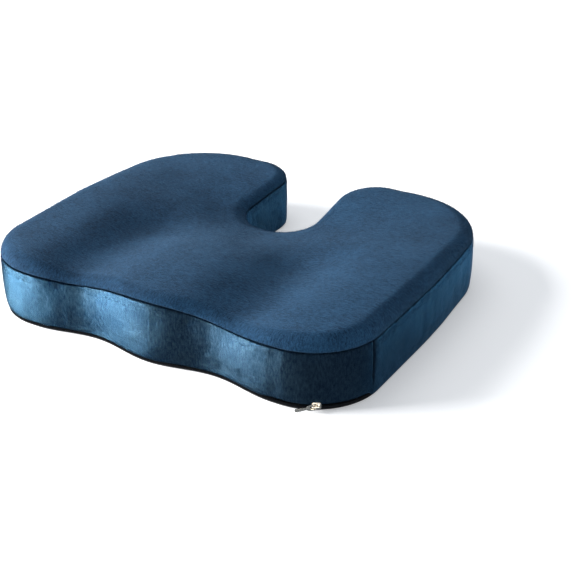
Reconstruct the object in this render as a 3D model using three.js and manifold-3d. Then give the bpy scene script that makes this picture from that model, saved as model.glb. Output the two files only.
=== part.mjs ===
// U-shaped contoured seat cushion: a moulded foam core in a zipped fabric cover.
//
// Millimetres, +Z up. +X is to the sitter's right, -Y is the front (thigh) edge, and the origin is
// the centre of the bounding box's bottom face.
//
// Every layer of the cushion follows one closed outline, inset along the outline's normals, and all
// of them share the same stations round it, so that neighbouring layers keep an even gap.

import * as THREE from 'three';
import { mergeVertices } from 'three/addons/utils/BufferGeometryUtils.js';
import Module from 'manifold-3d';

const wasm = await Module();
wasm.setup();

// ---------------------------------------------------------------- driving sizes

const WIDTH = 450;
const DEPTH = 380;
const HEIGHT = 77;                      // crest of the side shoulders and of the nose

const SCALLOP_PITCH = 142;              // nose to the middle of a thigh lobe
const SCALLOP_DEPTH = 10.5;
const SIDE_TAPER = 7;                   // how far the side draws in from its middle to each corner
const FRONT_CORNER_RADIUS = 71;
const SIDE_RADIUS = 900;
const REAR_CORNER_RADIUS = 106;

const NOTCH_DEPTH = 150;
const NOTCH_MOUTH = 75;                 // width between the lobes at the rear edge
const NOTCH_FLOOR = 93;                 // width at the closed end
const NOTCH_LIP_RADIUS = 46;
const NOTCH_FLOOR_RADIUS = 40;

const REAR_DROP = 9;                    // the rear is lower than the front by this much
const BASIN_DEPTH = 20;                 // the seat hollow
const BASIN_CENTRE_Y = 38;
const BASIN_HALF_WIDTH = 122;
const BASIN_HALF_LENGTH = 92;
const GROOVE_DEPTH = 11;                // the two thigh grooves
const GROOVE_OFFSET = 95;
const GROOVE_HALF_WIDTH = 45;
const GROOVE_END = 40;                  // the grooves fade towards the rear between these two places
const GROOVE_FADE = 100;
const REAR_DROP_START = -40;            // the rear begins to fall here

const SHOULDER = 16;                    // width of the rolled top edge
const SEAM_HEIGHT = 61;                 // top seam on the sides and corners
const SEAM_RISE_AT_NOSE = 10;
const NOSE_HALF_WIDTH = 50;             // how far from the nose that rise reaches
const SEAM_BLEND = 3;                   // eases the seam where the crest forces it down
const SEAM_BELOW_CREST = 6;             // least drop from the crest to the seam

const COVER = 2.4;                      // quilted velour thickness
const BASE_PANEL = 1.2;
const BASE_TUCK = 1.0;                  // the base panel stands this far inside the band
const FOAM_TUCK = 4.0;                  // foam side face, in from the outline
const GAP = 0.3;                        // between neighbouring pieces
const SEAM_ANGLE = -12;                 // corner seam, in degrees round the front corner's arc

const ZIP_HEIGHT = 6.2;                 // middle of the zip, above the surface it rests on
const TAPE = 0.6;
const TAPE_HEIGHT = 10;                 // upper tape, behind the front band
const TAPE_FLANGE = 10;                 // lower tape, on the base panel
const COIL_INSET = 0.6;
const COIL_DEPTH = 1.7;
const COIL_HEIGHT = 1.5;                // of each half
const COIL_PARTING = 1.4;               // between the halves, where the slider's post runs
const TACK_LENGTH = 3.5;

const SLIDER_ANGLE = -60;               // rest place, in degrees round the front corner's arc
const SLIDER_LENGTH = 9;
const SLIDER_HEIGHT = 6.8;
const SLIDER_PLATE = 1.0;
const SLIDER_CORNER = 1.6;
const INNER_PLATE_LENGTH = 6;
const INNER_PLATE_HEIGHT = 2.6;
const INNER_PLATE = 0.7;
const SLIDER_CLEARANCE = 0.4;
const POST_HEIGHT = 0.6;
const POST_LENGTH = 3;
const CROWN_INSIDE = 2.2;               // height under the crown
const CROWN_BAR = 0.9;
const CROWN_WIDTH = 1.4;
const CROWN_SPAN = 3.2;                 // clear length under the crown
const WELD = 0.1;                       // how far the slider's joined pieces run into each other

const TAB_LENGTH = 20.5;                // from its hinge to its tip
const TAB_THICKNESS = 1.0;
const TAB_EYE_LENGTH = 9;
const TAB_EYE_WIDTH = 6.2;
const TAB_EYE_RIM = 1.2;
const TAB_EYE_CORNER = 1;
const TAB_NECK_WIDTH = 2.2;
const TAB_NECK_RUN = 1;                 // from the eye's end to the neck
const TAB_TAIL_WIDTH = 3.0;
const TAB_TAIL_FLARE = 1.2;
const TAB_SAG = 13;                     // degrees below level, at rest

// stations round half of the outline, and steps over the shoulder and across the top
const FRONT_STEPS = 18;
const SIDE_STEPS = 12;
const TIP_STEPS = 8;
const NOTCH_STEPS = FRONT_STEPS + SIDE_STEPS;
const TIP_SHARE = 0.6;                  // how far round its corner arcs each lobe's end begins
const SHOULDER_STEPS = 4;
const WAVE_STEPS = 60;                  // points on one wave of the front
const BEND_WEIGHT = 200;                // draws stations to where the outline bends
const SAMPLES = 400;
const SAME_PLACE = 1e-3;
const NEAR_END = 1;                     // a strip takes no station this close to its end

// ---------------------------------------------------------------- colours

const velour = () => new THREE.MeshStandardMaterial({ color: 0x17324f, roughness: 0.95, metalness: 0 });
const velourBand = () => new THREE.MeshStandardMaterial({ color: 0x234b78, roughness: 0.9, metalness: 0 });
const blackCloth = () => new THREE.MeshStandardMaterial({ color: 0x141518, roughness: 0.95, metalness: 0 });
const blackNylon = () => new THREE.MeshStandardMaterial({ color: 0x0c0d10, roughness: 0.5, metalness: 0 });
const foam = () => new THREE.MeshStandardMaterial({ color: 0xe9e4d6, roughness: 1, metalness: 0 });
const platedMetal = () => new THREE.MeshStandardMaterial({ color: 0xcfc6b2, roughness: 0.3, metalness: 1 });

// ---------------------------------------------------------------- the outline

const rad = THREE.MathUtils.degToRad;
const smooth = THREE.MathUtils.smoothstep;
const FRONT = -DEPTH / 2;
const REAR = DEPTH / 2;

// The right half of the outline runs from the nose round the side and the lobe to the closed end
// of the notch: a cosine wave along the front, then these corners, each rounded by its radius.
const corners = [
  { at: [WIDTH / 2 - SIDE_TAPER, FRONT], radius: FRONT_CORNER_RADIUS },
  { at: [WIDTH / 2, 0], radius: SIDE_RADIUS },
  { at: [WIDTH / 2 - SIDE_TAPER, REAR], radius: REAR_CORNER_RADIUS },
  { at: [NOTCH_MOUTH / 2, REAR], radius: NOTCH_LIP_RADIUS },
  { at: [NOTCH_FLOOR / 2, REAR - NOTCH_DEPTH], radius: NOTCH_FLOOR_RADIUS },
].map(({ at, radius }) => ({ at: new THREE.Vector2(...at), radius }));

// Rounds every corner of an open path. A corner's arc is smaller than wanted only where two arcs
// would not both fit on the edge between them.
function roundedPath(start, corners, end) {
  const path = [start, ...corners.map((corner) => corner.at), end];
  const bends = corners.map(({ at, radius }, i) => {
    const before = path[i].clone().sub(at).normalize();
    const after = path[i + 2].clone().sub(at).normalize();
    const half = 0.5 * Math.acos(before.dot(after));
    return { at, radius, before, after, half, run: radius / Math.tan(half) };
  });
  const runs = [0, ...bends.map((bend) => bend.run), 0];
  const shares = path.slice(1).map((point, i) => (
    Math.min(1, point.distanceTo(path[i]) / (runs[i] + runs[i + 1]))));
  return bends.map(({ at, radius, before, after, half }, i) => {
    const share = Math.min(shares[i], shares[i + 1]);
    return arcAt(at, before, after, half, radius * share);
  });
}

// The arc in one corner: its points, about one degree apart, its centre and its radius.
function arcAt(at, before, after, half, radius) {
  const centre = before.clone().add(after).normalize().multiplyScalar(radius / Math.sin(half)).add(at);
  const from = at.clone().addScaledVector(before, radius / Math.tan(half)).sub(centre);
  const to = at.clone().addScaledVector(after, radius / Math.tan(half)).sub(centre);
  const turn = Math.atan2(from.x * to.y - from.y * to.x, from.dot(to));
  const steps = Math.max(4, Math.ceil(Math.abs(turn) / rad(1)));
  const points = [];
  for (let i = 0; i <= steps; i++) {
    points.push(from.clone().rotateAround(new THREE.Vector2(), (turn * i) / steps).add(centre));
  }
  return { points, centre, radius };
}

function halfOutline() {
  const wave = [];
  for (let i = 0; i <= WAVE_STEPS; i++) {
    const phase = (2 * Math.PI * i) / WAVE_STEPS;
    const y = FRONT + (SCALLOP_DEPTH * (1 - Math.cos(phase))) / 2;
    wave.push(new THREE.Vector2((SCALLOP_PITCH * i) / WAVE_STEPS, y));
  }
  const end = new THREE.Vector2(0, REAR - NOTCH_DEPTH);
  const arcs = roundedPath(wave.at(-1), corners, end);
  const points = [...wave, ...arcs.flatMap((arc) => arc.points), end];
  const distinct = points.filter((p, i) => i === 0 || p.distanceTo(points[i - 1]) > SAME_PLACE);
  return { points: distinct, frontArc: arcs[0], rearArc: arcs[2], lipArc: arcs[3] };
}

const { points: half, frontArc, rearArc, lipArc } = halfOutline();
const lengths = [0];
for (let i = 1; i < half.length; i++) {
  lengths.push(lengths[i - 1] + half[i].distanceTo(half[i - 1]));
}
const HALF_LENGTH = lengths.at(-1);

// Distance from the nose of one of the outline's own points.
function distanceOf(point) {
  return lengths[half.findIndex((p) => p.distanceTo(point) < 2 * SAME_PLACE)];
}

// Point and outward normal at a distance s from the nose. Negative distances run to the left.
function outlineAt(s) {
  const mirrored = s < 0 || s > HALF_LENGTH;
  const t = s < 0 ? -s : s > HALF_LENGTH ? 2 * HALF_LENGTH - s : s;
  let i = 1;
  while (i < half.length - 1 && lengths[i] < t) i++;
  const f = (t - lengths[i - 1]) / (lengths[i] - lengths[i - 1]);
  const direction = (k) => {
    const a = half[Math.max(k - 1, 0)];
    const b = half[Math.min(k + 1, half.length - 1)];
    const d = b.clone().sub(a).normalize();
    const onAxis = k === 0 || k === half.length - 1;
    return onAxis ? new THREE.Vector2(Math.sign(d.x), 0) : d;
  };
  const along = direction(i - 1).lerp(direction(i), f).normalize();
  const normal = new THREE.Vector2(along.y, -along.x);
  const point = half[i - 1].clone().lerp(half[i], f);
  if (mirrored) {
    point.x *= -1;
    normal.x *= -1;
  }
  return { point, normal };
}

function insetPoint(s, inset) {
  const { point, normal } = outlineAt(s);
  return point.addScaledVector(normal, -inset);
}

// Distance from the nose of a place on the front corner's arc, given by its angle.
function onFrontArc(degrees) {
  const start = frontArc.points[0].clone().sub(frontArc.centre).angle();
  const turn = THREE.MathUtils.euclideanModulo(rad(degrees) - start, 2 * Math.PI);
  return distanceOf(frontArc.points[0]) + turn * frontArc.radius;
}

// Stations between two distances, closer together where the outline bends.
function spread(from, to, steps) {
  const total = [0];
  for (let i = 1; i <= SAMPLES; i++) {
    const a = outlineAt(from + ((to - from) * (i - 1)) / SAMPLES).normal;
    const b = outlineAt(from + ((to - from) * i) / SAMPLES).normal;
    total.push(total[i - 1] + (to - from) / SAMPLES + BEND_WEIGHT * a.distanceTo(b));
  }
  const stations = [];
  for (let k = 1; k < steps; k++) {
    const wanted = (total[SAMPLES] * k) / steps;
    const i = total.findIndex((value) => value >= wanted);
    const f = (wanted - total[i - 1]) / (total[i] - total[i - 1]);
    stations.push(from + ((to - from) * (i - 1 + f)) / SAMPLES);
  }
  return [...stations, to];
}

const seamAt = onFrontArc(SEAM_ANGLE);
const zipEnd = seamAt - TACK_LENGTH;
const tipOuter = distanceOf(rearArc.points[Math.floor(rearArc.points.length * TIP_SHARE)]);
const tipInner = distanceOf(lipArc.points[Math.floor(lipArc.points.length * (1 - TIP_SHARE))]);

const rightHalf = [
  0,
  ...spread(0, zipEnd, FRONT_STEPS - 1),
  seamAt,
  ...spread(seamAt, tipOuter, SIDE_STEPS),
  ...spread(tipOuter, tipInner, TIP_STEPS),
  ...spread(tipInner, HALF_LENGTH, NOTCH_STEPS),
];
const leftHalf = rightHalf.slice(1, -1).reverse().map((s) => -s);
const loop = [...rightHalf, ...leftHalf];

// ---------------------------------------------------------------- the contoured top

const bell = (value, width) => Math.exp(-((value / width) ** 2));

function topHeight({ x, y }) {
  const drop = REAR_DROP * smooth(y, REAR_DROP_START, REAR);
  const basin = BASIN_DEPTH * bell(x, BASIN_HALF_WIDTH) * bell(y - BASIN_CENTRE_Y, BASIN_HALF_LENGTH);
  const fade = 1 - smooth(y, GROOVE_END - GROOVE_FADE, GROOVE_END);
  const groove = GROOVE_DEPTH * bell(Math.abs(x) - GROOVE_OFFSET, GROOVE_HALF_WIDTH) * fade;
  return HEIGHT - drop - basin - groove;
}

// The seam runs level on the sides, rises at the nose and stays below the crest everywhere.
function seamHeight(s) {
  const { point } = outlineAt(s);
  const atFront = 1 - smooth(point.y, FRONT / 2, 0);
  const level = SEAM_HEIGHT + SEAM_RISE_AT_NOSE * bell(point.x, NOSE_HALF_WIDTH) * atFront;
  const highest = topHeight(point) - SEAM_BELOW_CREST;
  const lower = Math.min(level, highest);
  return lower - SEAM_BLEND * Math.log(1 + Math.exp(-Math.abs(level - highest) / SEAM_BLEND));
}

// ---------------------------------------------------------------- building closed surfaces

class Surface {
  constructor() {
    this.vertices = [];
    this.faces = [];
  }

  point(x, y, z) {
    this.vertices.push(x, y, z);
    return this.vertices.length / 3 - 1;
  }

  // Splits along a-c whichever way it faces, so that stacked surfaces fold along the same lines.
  quad(a, b, c, d, outward = true) {
    if (outward) this.faces.push(a, b, c, a, c, d);
    else this.faces.push(a, c, b, a, d, c);
  }

  // Joins two closed rings, the lower one first, facing away from the middle or towards it.
  band(low, high, outward = true) {
    low.forEach((_, i) => {
      const next = (i + 1) % low.length;
      this.quad(low[i], low[next], high[next], high[i], outward);
    });
  }

  geometry() {
    const geometry = new THREE.BufferGeometry();
    geometry.setAttribute('position', new THREE.Float32BufferAttribute(this.vertices, 3));
    geometry.setIndex(this.faces);
    return geometry;
  }
}

// The cushion's rolled edge and top: rings over the shoulder, then a grid that follows the U from
// one lobe's tip to the other's. `side` is the inset of the side face and `sink` how far the
// surface lies below the outer one. Returns the ring at the seam.
function addDome(surface, side, sink, outward) {
  const rings = [];
  for (let k = 0; k <= SHOULDER_STEPS; k++) {
    const angle = (Math.PI / 2) * (k / SHOULDER_STEPS);
    const inset = side + (SHOULDER - side) * (1 - Math.cos(angle));
    rings.push(loop.map((s) => {
      const p = insetPoint(s, inset);
      const low = seamHeight(s);
      const z = low + (topHeight(p) - sink - low) * Math.sin(angle);
      return surface.point(p.x, p.y, z);
    }));
  }
  for (let k = 0; k < SHOULDER_STEPS; k++) {
    surface.band(rings[k], rings[k + 1], outward);
  }

  const edge = rings.at(-1);
  const plan = loop.map((s) => insetPoint(s, SHOULDER));
  const count = loop.length;
  const reach = FRONT_STEPS + SIDE_STEPS;
  const outer = (i) => (i + count) % count;
  const inner = (i) => 2 * reach + TIP_STEPS - i;
  const rightTip = (j) => reach + j;
  const leftTip = (j) => count - reach - j;
  const grid = [];
  for (let i = -reach; i <= reach; i++) {
    const u = (i + reach) / (2 * reach);
    const column = [];
    for (let j = 0; j <= TIP_STEPS; j++) {
      const v = j / TIP_STEPS;
      if (j === 0) column.push(edge[outer(i)]);
      else if (j === TIP_STEPS) column.push(edge[inner(i)]);
      else if (i === -reach) column.push(edge[leftTip(j)]);
      else if (i === reach) column.push(edge[rightTip(j)]);
      else {
        const p = new THREE.Vector2();
        const add = (index, weight) => p.addScaledVector(plan[index], weight);
        add(outer(i), 1 - v);
        add(inner(i), v);
        add(leftTip(j), 1 - u);
        add(rightTip(j), u);
        add(outer(-reach), -(1 - u) * (1 - v));
        add(outer(reach), -u * (1 - v));
        add(inner(-reach), -(1 - u) * v);
        add(inner(reach), -u * v);
        column.push(surface.point(p.x, p.y, topHeight(p) - sink));
      }
    }
    grid.push(column);
  }
  for (let i = 0; i < 2 * reach; i++) {
    for (let j = 0; j < TIP_STEPS; j++) {
      surface.quad(grid[i][j], grid[i + 1][j], grid[i + 1][j + 1], grid[i][j + 1], outward);
    }
  }
  return rings[0];
}

// A flat face over the whole outline, looking down, with its ring.
function addFloor(surface, inset, z) {
  const plan = loop.map((s) => insetPoint(s, inset));
  const ring = plan.map((p) => surface.point(p.x, p.y, z));
  THREE.ShapeUtils.triangulateShape(plan, []).forEach(([a, b, c]) => {
    surface.faces.push(ring[c], ring[b], ring[a]);
  });
  return ring;
}

// A strip that follows the outline between two distances. `section(s)` gives its corners as
// [inset, z], in order from the outer low corner up and round.
function stripGeometry(from, to, section) {
  const middle = loopDistances.filter((s) => s > from + NEAR_END && s < to - NEAR_END);
  const surface = new Surface();
  const slices = [from, ...middle, to].map((s) => section(s).map(([inset, z]) => {
    const p = insetPoint(s, inset);
    return surface.point(p.x, p.y, z);
  }));
  for (let i = 0; i + 1 < slices.length; i++) {
    slices[i].forEach((corner, k) => {
      const next = (k + 1) % slices[i].length;
      surface.quad(corner, slices[i + 1][k], slices[i + 1][next], slices[i][next]);
    });
  }
  const cap = (s, slice, outward) => {
    const profile = section(s).map(([inset, z]) => new THREE.Vector2(inset, z));
    THREE.ShapeUtils.triangulateShape(profile, []).forEach((face) => {
      const [a, b, c] = outward ? face : [...face].reverse();
      surface.faces.push(slice[a], slice[b], slice[c]);
    });
  };
  cap(from, slices[0], false);
  cap(to, slices.at(-1), true);
  return surface.geometry();
}

// Every station as a distance that keeps rising past the notch's closed end.
const loopDistances = [
  ...leftHalf,
  ...rightHalf,
  ...leftHalf.map((s) => s + 2 * HALF_LENGTH),
].sort((a, b) => a - b);

const rectangle = (outer, inner, low, high) => [[outer, low], [outer, high], [inner, high], [inner, low]];

// ---------------------------------------------------------------- the cover and the foam

const onBase = BASE_PANEL + GAP;
const partingLow = ZIP_HEIGHT - COIL_PARTING / 2;
const partingHigh = ZIP_HEIGHT + COIL_PARTING / 2;
const zipLow = partingLow - COIL_HEIGHT;
const zipHigh = partingHigh + COIL_HEIGHT;
const frontBandLow = zipHigh + GAP;
const foamFloor = onBase + TAPE + GAP;

function coverTopPanel() {
  const surface = new Surface();
  const outerRing = addDome(surface, 0, 0, true);
  const innerRing = addDome(surface, COVER, COVER, false);
  surface.band(innerRing, outerRing);
  return surface.geometry();
}

function foamCore() {
  const surface = new Surface();
  const shoulderRing = addDome(surface, FOAM_TUCK, COVER + GAP, true);
  const floorRing = addFloor(surface, FOAM_TUCK, foamFloor);
  surface.band(floorRing, shoulderRing);
  return surface.geometry();
}

function coverBasePanel() {
  const surface = new Surface();
  const low = addFloor(surface, BASE_TUCK, 0);
  const plan = loop.map((s) => insetPoint(s, BASE_TUCK));
  const high = plan.map((p) => surface.point(p.x, p.y, BASE_PANEL));
  THREE.ShapeUtils.triangulateShape(plan, []).forEach(([a, b, c]) => {
    surface.faces.push(high[a], high[b], high[c]);
  });
  surface.band(low, high);
  return surface.geometry();
}

const bandSection = (low) => (s) => rectangle(0, COVER, low, seamHeight(s) - GAP);

const frontBand = () => stripGeometry(
  -seamAt + GAP / 2, seamAt - GAP / 2, bandSection(frontBandLow));

const sideBand = () => stripGeometry(
  seamAt + GAP / 2, 2 * HALF_LENGTH - seamAt - GAP / 2, bandSection(onBase));

// ---------------------------------------------------------------- the zip

const zipStrip = (section, end = zipEnd - GAP) => stripGeometry(-end, end, () => section);

const upperTape = () => zipStrip(
  rectangle(COVER + GAP, COVER + GAP + TAPE, frontBandLow, frontBandLow + TAPE_HEIGHT), seamAt - GAP);

// The lower tape lies on the base panel and turns up to the coil.
function lowerTape() {
  const outer = COIL_INSET + (COIL_DEPTH - TAPE) / 2;
  const high = zipLow - GAP;
  return zipStrip([
    [outer, onBase], [outer, high], [outer + TAPE, high], [outer + TAPE, onBase + TAPE],
    [outer + TAPE_FLANGE, onBase + TAPE], [outer + TAPE_FLANGE, onBase],
  ], seamAt - GAP);
}

const coil = (low) => zipStrip(rectangle(COIL_INSET, COIL_INSET + COIL_DEPTH, low, low + COIL_HEIGHT));

function endTack(side) {
  const section = () => rectangle(COIL_INSET, COIL_INSET + COIL_DEPTH, zipLow, zipHigh);
  const [from, to] = [zipEnd, seamAt - GAP];
  return side > 0 ? stripGeometry(from, to, section) : stripGeometry(-to, -from, section);
}

// Turns a closed geometry into a solid for joining and cutting.
function solid(geometry) {
  const bare = geometry.clone();
  bare.deleteAttribute('normal');
  bare.deleteAttribute('uv');
  const merged = mergeVertices(bare, 1e-4);
  return new wasm.Manifold(new wasm.Mesh({
    numProp: 3,
    vertProperties: new Float32Array(merged.attributes.position.array),
    triVerts: new Uint32Array(merged.index.array),
  }));
}

function fromSolid(body) {
  const { vertProperties, triVerts } = body.getMesh();
  const geometry = new THREE.BufferGeometry();
  geometry.setAttribute('position', new THREE.Float32BufferAttribute(vertProperties, 3));
  geometry.setIndex([...triVerts]);
  return geometry;
}

// A box from its low and high corners.
function block(low, high) {
  const size = new THREE.Vector3(...high).sub(new THREE.Vector3(...low));
  const centre = new THREE.Vector3(...low).addScaledVector(size, 0.5);
  return new THREE.BoxGeometry(...size).translate(...centre);
}

// The slider in its own frame: X along the track, Y outward from the outline, Z up from the
// middle of the parting. Two plates hold the coils between them, joined by the post.
const plateOuter = SLIDER_CLEARANCE + SLIDER_PLATE;
const crownTop = plateOuter + CROWN_INSIDE + CROWN_BAR;

function sliderBody() {
  const corner = SLIDER_CORNER;
  const face = new THREE.Shape();
  const [x, z] = [SLIDER_LENGTH / 2, SLIDER_HEIGHT / 2];
  face.moveTo(-x + corner, -z);
  face.lineTo(x - corner, -z);
  face.absarc(x - corner, -z + corner, corner, -Math.PI / 2, 0);
  face.absarc(x - corner, z - corner, corner, 0, Math.PI / 2);
  face.absarc(-x + corner, z - corner, corner, Math.PI / 2, Math.PI);
  face.absarc(-x + corner, -z + corner, corner, Math.PI, 1.5 * Math.PI);
  const plate = new THREE.ExtrudeGeometry(face, {
    depth: SLIDER_PLATE, bevelEnabled: false, curveSegments: 4,
  });
  plate.rotateX(Math.PI / 2).translate(0, plateOuter, 0);

  const coilBack = -(COIL_INSET + COIL_DEPTH);
  const innerFace = coilBack - SLIDER_CLEARANCE;
  const [halfLength, halfHeight] = [INNER_PLATE_LENGTH / 2, INNER_PLATE_HEIGHT / 2];
  const innerPlate = block(
    [-halfLength, innerFace - INNER_PLATE, -halfHeight], [halfLength, innerFace, halfHeight]);
  const post = block(
    [-POST_LENGTH / 2, innerFace - WELD, -POST_HEIGHT / 2],
    [POST_LENGTH / 2, SLIDER_CLEARANCE + WELD, POST_HEIGHT / 2]);

  const foot = (side) => {
    const near = (side * CROWN_SPAN) / 2;
    const far = near + side * CROWN_WIDTH;
    return block(
      [Math.min(near, far), plateOuter - WELD, -CROWN_WIDTH / 2],
      [Math.max(near, far), crownTop, CROWN_WIDTH / 2]);
  };
  const bar = block(
    [-CROWN_SPAN / 2 - WELD, crownTop - CROWN_BAR, -CROWN_WIDTH / 2],
    [CROWN_SPAN / 2 + WELD, crownTop, CROWN_WIDTH / 2]);

  return fromSolid([innerPlate, post, foot(-1), foot(1), bar]
    .map(solid)
    .reduce((body, piece) => body.add(piece), solid(plate)));
}

// The pull tab in its own frame: X from the hinge to the tip, Z across, Y through its thickness.
// An oval eye goes round the crown, and a slim tail runs from it.
function pullTab() {
  const bar = TAB_THICKNESS / 2;
  const eyeMiddle = TAB_EYE_LENGTH / 2 - bar;
  const eyeEnd = TAB_EYE_LENGTH - bar;
  const tail = TAB_TAIL_WIDTH / 2;
  const neck = TAB_NECK_WIDTH / 2;
  const neckAt = eyeEnd + TAB_NECK_RUN;
  const wide = TAB_EYE_WIDTH / 2;
  const corner = TAB_EYE_CORNER;
  const tailMiddle = [(eyeEnd + TAB_LENGTH) / 2, tail * TAB_TAIL_FLARE];
  const outer = new THREE.Shape();
  outer.moveTo(-bar, -wide + corner);
  outer.quadraticCurveTo(-bar, -wide, corner, -wide);
  outer.lineTo(eyeMiddle, -wide);
  outer.quadraticCurveTo(eyeEnd, -wide, neckAt, -neck);
  outer.quadraticCurveTo(tailMiddle[0], -tailMiddle[1], TAB_LENGTH - tail, -tail);
  outer.absarc(TAB_LENGTH - tail, 0, tail, -Math.PI / 2, Math.PI / 2);
  outer.quadraticCurveTo(tailMiddle[0], tailMiddle[1], neckAt, neck);
  outer.quadraticCurveTo(eyeEnd, wide, eyeMiddle, wide);
  outer.lineTo(corner, wide);
  outer.quadraticCurveTo(-bar, wide, -bar, wide - corner);

  const eye = new THREE.Path();
  const inside = wide - TAB_EYE_RIM;
  eye.moveTo(bar, -inside);
  eye.lineTo(bar, inside);
  eye.lineTo(eyeMiddle, inside);
  eye.absarc(eyeMiddle, 0, inside, Math.PI / 2, -Math.PI / 2, true);
  outer.holes.push(eye);

  const tab = new THREE.ExtrudeGeometry(outer, {
    depth: TAB_THICKNESS, bevelEnabled: false, curveSegments: 8,
  });
  return tab.translate(0, 0, -TAB_THICKNESS / 2).rotateX(Math.PI / 2);
}

// ---------------------------------------------------------------- the assembly

const cushion = new THREE.Group();

function add(parent, name, geometry, material) {
  const mesh = new THREE.Mesh(geometry, material);
  mesh.name = name;
  parent.add(mesh);
}

add(cushion, 'foam_core', foamCore(), foam());
add(cushion, 'cover_top_panel', coverTopPanel(), velour());
add(cushion, 'cover_front_band', frontBand(), velourBand());
add(cushion, 'cover_side_band', sideBand(), velourBand());
add(cushion, 'cover_base_panel', coverBasePanel(), blackCloth());
add(cushion, 'zipper_tape_upper', upperTape(), blackCloth());
add(cushion, 'zipper_tape_lower', lowerTape(), blackCloth());
add(cushion, 'zipper_coil_upper', coil(partingHigh), blackNylon());
add(cushion, 'zipper_coil_lower', coil(zipLow), blackNylon());
add(cushion, 'zipper_end_tack_right', endTack(1), blackCloth());
add(cushion, 'zipper_end_tack_left', endTack(-1), blackCloth());

// The slider stands on the front corner's arc and points along it.
const track = new THREE.Group();
track.position.set(frontArc.centre.x, frontArc.centre.y, ZIP_HEIGHT);
track.rotation.z = rad(SLIDER_ANGLE - 90);
cushion.add(track);

const slider = new THREE.Group();
slider.position.y = frontArc.radius;
track.add(slider);
add(slider, 'zipper_slider', sliderBody(), platedMetal());

// The tab hangs from the crown and points back along the track, a little below level.
const tabHinge = new THREE.Group();
tabHinge.position.y = plateOuter + CROWN_INSIDE / 2;
tabHinge.rotation.y = rad(TAB_SAG);
slider.add(tabHinge);
add(tabHinge, 'zipper_pull_tab', pullTab(), platedMetal());

// The tab reaches past the front edge, so the bounding box's centre is found from the whole model.
cushion.updateMatrixWorld(true);
const bounds = new THREE.Box3().setFromObject(cushion, true);
cushion.position.y = -(bounds.min.y + bounds.max.y) / 2;

export default cushion;
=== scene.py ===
import math

import bmesh
import bpy
import numpy as np
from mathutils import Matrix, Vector, noise


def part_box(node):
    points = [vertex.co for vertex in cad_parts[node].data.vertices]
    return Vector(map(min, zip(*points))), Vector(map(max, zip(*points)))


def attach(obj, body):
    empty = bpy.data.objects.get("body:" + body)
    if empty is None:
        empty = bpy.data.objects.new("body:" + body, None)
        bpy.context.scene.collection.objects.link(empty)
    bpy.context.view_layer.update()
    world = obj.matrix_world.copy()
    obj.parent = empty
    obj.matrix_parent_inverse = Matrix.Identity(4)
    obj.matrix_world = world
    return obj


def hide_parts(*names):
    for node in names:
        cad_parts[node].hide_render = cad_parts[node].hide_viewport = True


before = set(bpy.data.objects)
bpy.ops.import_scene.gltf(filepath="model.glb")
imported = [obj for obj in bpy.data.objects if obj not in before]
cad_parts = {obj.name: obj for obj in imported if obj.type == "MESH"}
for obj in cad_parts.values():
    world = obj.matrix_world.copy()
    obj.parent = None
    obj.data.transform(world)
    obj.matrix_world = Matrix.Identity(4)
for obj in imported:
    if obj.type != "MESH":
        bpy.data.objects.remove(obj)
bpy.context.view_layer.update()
print("frame loaded")

# the cover's cut, in metres: half of the outline, the top's contour and the seams
cut = dict(
    halfWidth=0.225, taper=0.007, frontRadius=0.071, sideRadius=0.9, rearRadius=0.106,
    notchDepth=0.150, notchMouth=0.075, notchFloor=0.093, lipRadius=0.046, floorRadius=0.040,
    pitch=0.142, scallop=0.0105, waveSteps=90, leastSteps=4,
    arcStep=1,   # degrees
    rearDrop=0.009, dropFrom=-0.040,
    basin=0.020, basinY=0.038, basinX=0.122, basinLength=0.092,
    groove=0.011, grooveX=0.095, grooveWidth=0.045, fadeFrom=-0.060, fadeTo=0.040,
    shoulder=0.016, seam=0.061, noseRise=0.010, noseHalf=0.050, belowCrest=0.006, seamBlend=0.003,
    cornerSeam=-12,   # degrees round the front corner
)
tiny, samePlace, onSeam = 1e-9, 1e-6, 1e-5
topLow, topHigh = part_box("cover_top_panel")
front, rear, crest = topLow.y, topHigh.y, topHigh.z
middle = (front + rear) / 2


# an arc in each corner of a path, made smaller where two would overlap
def roundedPath(start, corners, end):
    path = [start] + [c[0] for c in corners] + [end]
    bends, runs = [], [0]
    for i, (at, radius) in enumerate(corners):
        before = (path[i] - at).normalized()
        after = (path[i + 2] - at).normalized()
        half = before.angle(after) / 2
        bends.append((at, radius, before, after, half))
        runs.append(radius / math.tan(half))
    runs.append(0)
    share = [min(1, (path[i + 1] - path[i]).length / max(runs[i] + runs[i + 1], tiny))
             for i in range(len(path) - 1)]
    arcs = []
    for i, (at, radius, before, after, half) in enumerate(bends):
        radius *= min(share[i], share[i + 1])
        centre = at + (before + after).normalized() * (radius / math.sin(half))
        a = at + before * (radius / math.tan(half)) - centre
        b = at + after * (radius / math.tan(half)) - centre
        turn = math.atan2(a.x * b.y - a.y * b.x, a.dot(b))
        steps = max(cut["leastSteps"], math.ceil(abs(turn) / math.radians(cut["arcStep"])))
        spots = []
        for k in range(steps + 1):
            c, s = math.cos(turn * k / steps), math.sin(turn * k / steps)
            spots.append(centre + Vector((a.x * c - a.y * s, a.x * s + a.y * c)))
        arcs.append((spots, radius))
    return arcs


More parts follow.
